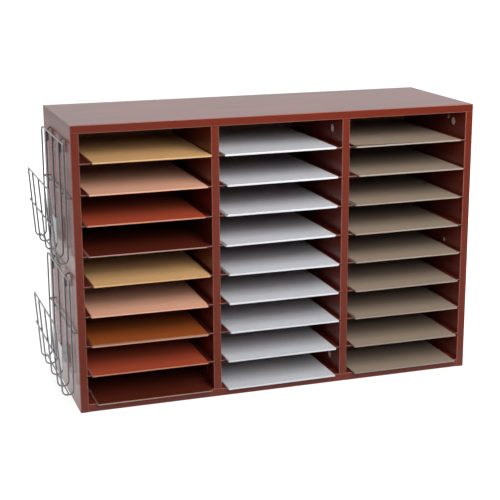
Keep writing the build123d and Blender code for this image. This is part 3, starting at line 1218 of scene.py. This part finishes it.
class MAILCENTER_OT_finish_baskets(bpy.types.Operator):
    """Coat the wire baskets and weld their wires together"""

    bl_idname = "mailcenter.finish_baskets"
    bl_label = "Finish the baskets"

    def execute(self, context):
        settings = context.scene.mail_center_baskets
        coat = silver_powder_coat("silver_powder_coat", settings.coat)
        # The plate takes a paler copy of the same coat: a painted sheen, for the brighter look
        # of a flat sheet in the light
        plate_coat_painted_paler = silver_powder_coat("silver_powder_coat_on_sheet", settings.plate_coat_painted_paler)
        tree = weld_graph()
        for basket in BASKETS:
            body = f"{basket}_basket"
            wires = [name for name in frame["nodes"] if name.startswith(body)]
            paint(wires, coat)
            paint((f"{body}_plate",), plate_coat_painted_paler)
            beads = grow(
                f"{body}_weld_beads",
                self.weld_points(body),
                tree,
                {"Radius": settings.bead_radius, "Material": coat},
            )
            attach(beads, body)
        return {"FINISHED"}

    def weld_points(self, body):
        """Where the wires of a basket touch, from the boxes of its wires."""
        low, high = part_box(f"{body}_frame_wire")
        uprights = [middle(f"{body}_inner_wire_{k}").y for k in INNER_WIRES]
        crossed = [*uprights, low.y + WIRE_RADIUS, high.y - WIRE_RADIUS]
        back_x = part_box(f"{body}_back_cross_wire")[0].x
        back_z = middle(f"{body}_back_cross_wire").z
        front = middle(f"{body}_front_cross_wire")
        floor_x = middle(f"{body}_floor_cross_wire").x
        floor_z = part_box(f"{body}_floor_cross_wire")[0].z
        rim_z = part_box(f"{body}_inner_wire_1")[1].z
        return [
            *((back_x, y, back_z) for y in crossed),
            *((front.x + WIRE_RADIUS, y, front.z) for y in crossed),
            *((floor_x, y, floor_z) for y in crossed),
            *((high.x - WIRE_RADIUS, y, rim_z) for y in uprights),
        ]


class MAILCENTER_OT_fill_with_paper(bpy.types.Operator):
    """Lay a pile of letter paper in each compartment"""

    bl_idname = "mailcenter.fill_with_paper"
    bl_label = "Fill with paper"

    def execute(self, context):
        settings = context.scene.mail_center_paper
        papers = {
            colour: card(name, getattr(settings, colour), linear(edge))
            for colour, (name, _, edge) in PAPERS.items()
        }
        tree = pile_graph(loose_leaves_graph())
        for number, column in enumerate(COLUMNS):
            for row in range(1, ROWS + 1):
                self.lay_pile(settings, papers, tree, number, column, row)
        return {"FINISHED"}

    def lay_pile(self, settings, papers, tree, number, column, row):
        """The pile of one compartment, turned no further than its walls and back allow."""
        gap, reach, turn, paper = PILES[column][row - 1]
        gap *= MM
        reach *= MM
        left_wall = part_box(BOARDS[number])[1].x
        right_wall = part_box(BOARDS[number + 1])[0].x
        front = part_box("left_divider")[0].y
        to_left, to_right = turn_limit(
            gap - SHEET_ROOM,
            right_wall - left_wall - gap - settings.width - SHEET_ROOM,
            reach - SHEET_ROOM,
            settings.length,
            settings.width,
            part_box("back_panel")[0].y - front,
        )
        turn = max(-to_right, min(to_left, math.radians(turn)))
        across = gap + settings.width / 2 - math.sin(turn) * settings.length / 2
        if row < ROWS:
            body = f"shelf_{column}_{row}"
            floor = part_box(body)[1].z
        else:
            body = "cabinet"
            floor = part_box("bottom_board")[1].z
        leaves = PAPERS[paper][1]
        unmoved = (0.0, 0.0, 0.0, 0.0, paper)
        right, set_back, raised, loose_turn, loose_paper = LOOSE_SHEETS.get(
            (column, row), unmoved
        )
        # A loose sheet ends where its pile does at the back, so one that is set back or
        # turned is drawn shorter
        swing = settings.width / 2 * math.sin(math.radians(abs(loose_turn)))
        loose_offset = (
            right * MM,
            (set_back * MM - swing) / 2,
            settings.leaf * leaves + abs(raised) * MM / 2,
        )
        tilt = math.asin(raised * MM / settings.width)
        piece = grow(
            f"paper_{column}_{row}",
            [(0.0, 0.0, 0.0)],
            tree,
            {
                "Width": settings.width,
                "Length": settings.length,
                "Leaf": settings.leaf,
                "Leaves": leaves,
                "Slide": LEAF_SLIDE,
                "Turn": LEAF_TURN,
                "Lean": LEANS.get((column, row), 0.0) * MM,
                "Loose Length": settings.length - (set_back * MM + swing),
                "Loose Offset": loose_offset,
                "Loose Turn": (0.0, tilt, math.radians(loose_turn)),
                "Place": (
                    left_wall + across,
                    front - reach + settings.length / 2 * math.cos(turn),
                    floor,
                ),
                "Pile Turn": (0.0, 0.0, turn),
                "Wave": PILE_WAVE,
                "Seed": COLUMN_SEED_STEP * number + row,
                "Paper": papers[paper],
                "Loose Paper": papers[loose_paper],
            },
        )
        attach(piece, body)


class MAILCENTER_OT_set_the_stage(bpy.types.Operator):
    """Add the floor, the light and the camera at the photograph's angle"""

    bl_idname = "mailcenter.set_the_stage"
    bl_label = "Set the stage"

    def execute(self, context):
        settings = context.scene.mail_center_stage
        self.lay_floor(settings)
        self.light(context.scene)
        self.aim_camera(context.scene, settings)
        context.scene.view_settings.view_transform = "Standard"
        return {"FINISHED"}

    def lay_floor(self, settings):
        """A wide sheet of seamless paper just under the cabinet."""
        corners = [
            (x * FLOOR_REACH, y * FLOOR_REACH, -FLOOR_DROP)
            for x, y in ((-1, -1), (1, -1), (1, 1), (-1, 1))
        ]
        mesh = bpy.data.meshes.new("studio_floor")
        mesh.from_pydata(corners, [], [(0, 1, 2, 3)])
        floor = bpy.data.objects.new("studio_floor", mesh)
        bpy.context.scene.collection.objects.link(floor)
        mesh.materials.append(studio_floor(settings))

    def light(self, scene):
        """A white studio with a key light close in front and soft boxes all round."""
        world = bpy.data.worlds.new("White studio")
        world.use_nodes = True
        tree = world.node_tree
        tree.nodes.clear()
        studio = add_node(
            tree,
            "ShaderNodeBackground",
            {"Color": opaque(STUDIO_WHITE), "Strength": 0.15},
        )
        # The backdrop is white to the camera. Glossy surfaces mirror it paler behind the
        # object, and a dim room in front
        toward = add_node(tree, "ShaderNodeTexCoord").outputs["Generated"]
        backward = add_node(tree, "ShaderNodeSeparateXYZ", {0: toward}).outputs["Y"]
        mirrored = add_node(
            tree,
            "ShaderNodeMapRange",
            {
                "Value": backward,
                "From Min": -0.4,
                "From Max": 0.5,
                "To Min": 0.3,
                "To Max": 0.78,
            },
        )
        ray = add_node(tree, "ShaderNodeLightPath").outputs
        bright = add_node(
            tree,
            "ShaderNodeMapRange",
            {"Value": ray["Is Glossy Ray"], "To Min": 1.0, "To Max": mirrored.outputs[0]},
        )
        backdrop = add_node(
            tree,
            "ShaderNodeBackground",
            {"Color": opaque(WHITE), "Strength": bright.outputs[0]},
        )
        seen = add_node(
            tree,
            "ShaderNodeMath",
            {0: ray["Is Camera Ray"], 1: ray["Is Glossy Ray"]},
            operation="MAXIMUM",
        )
        seen_or_through = add_node(
            tree,
            "ShaderNodeMath",
            {0: seen.outputs[0], 1: ray["Is Transmission Ray"]},
            operation="MAXIMUM",
        )
        mixed = add_node(
            tree,
            "ShaderNodeMixShader",
            {0: seen_or_through.outputs[0], 1: studio.outputs[0], 2: backdrop.outputs[0]},
        )
        add_node(tree, "ShaderNodeOutputWorld", {"Surface": mixed.outputs[0]})
        scene.world = world
        for soft_box in SOFT_BOXES:
            self.hang_soft_box(scene, *soft_box)

    def hang_soft_box(self, scene, name, place, size, power, colour):
        """A rectangular lamp, aimed at the object."""
        lamp = bpy.data.lights.new(name, "AREA")
        lamp.shape = "RECTANGLE"
        lamp.size, lamp.size_y = size
        lamp.energy = power
        lamp.color = colour
        box = bpy.data.objects.new(name, lamp)
        # Boards and wires mirror the white studio, not each lamp
        box.visible_glossy = False
        scene.collection.objects.link(box)
        aim = (Vector(LAMP_TARGET) - Vector(place)).to_track_quat("-Z", "Y")
        box.matrix_world = Matrix.Translation(place) @ aim.to_matrix().to_4x4()

    def aim_camera(self, scene, settings):
        """A camera with the photograph's view."""
        camera = bpy.data.cameras.new("Camera")
        camera.lens = settings.lens
        camera.sensor_width = 36.0
        viewer = bpy.data.objects.new("Camera", camera)
        scene.collection.objects.link(viewer)
        heading = Matrix.Rotation(math.radians(CAMERA_HEADING), 4, "Z")
        tilt = Matrix.Rotation(math.radians(90.0 - CAMERA_DOWN), 4, "X")
        roll = Matrix.Rotation(math.radians(CAMERA_ROLL), 4, "Z")
        viewer.matrix_world = Matrix.Translation(CAMERA_PLACE) @ heading @ tilt @ roll
        scene.camera = viewer


class MAILCENTER_PT_panel(bpy.types.Panel):
    """Mail center tools"""

    bl_label = "Mail center"
    bl_idname = "MAILCENTER_PT_panel"
    bl_space_type = "VIEW_3D"
    bl_region_type = "UI"
    bl_category = "Mail center"

    def draw(self, context):
        for operator in OPERATORS:
            self.layout.operator(operator.bl_idname)


SETTINGS = {
    "mail_center_laminate": LaminateSettings,
    "mail_center_paper": PaperSettings,
    "mail_center_baskets": BasketSettings,
    "mail_center_stage": StageSettings,
}
OPERATORS = (
    MAILCENTER_OT_set_the_stage,
    MAILCENTER_OT_finish_boards,
    MAILCENTER_OT_finish_fittings,
    MAILCENTER_OT_finish_baskets,
    MAILCENTER_OT_fill_with_paper,
)


def register():
    for item in (*SETTINGS.values(), *OPERATORS, MAILCENTER_PT_panel):
        bpy.utils.register_class(item)
    for name, group in SETTINGS.items():
        setattr(bpy.types.Scene, name, PointerProperty(type=group))


def unregister():
    for name in SETTINGS:
        delattr(bpy.types.Scene, name)
    for item in (MAILCENTER_PT_panel, *reversed(OPERATORS), *reversed(SETTINGS.values())):
        bpy.utils.unregister_class(item)


def main():
    register()
    bpy.ops.mailcenter.set_the_stage()
    bpy.ops.mailcenter.finish_boards()
    bpy.ops.mailcenter.finish_fittings()
    bpy.ops.mailcenter.finish_baskets()
    bpy.ops.mailcenter.fill_with_paper()


if __name__ == "__main__":
    main()
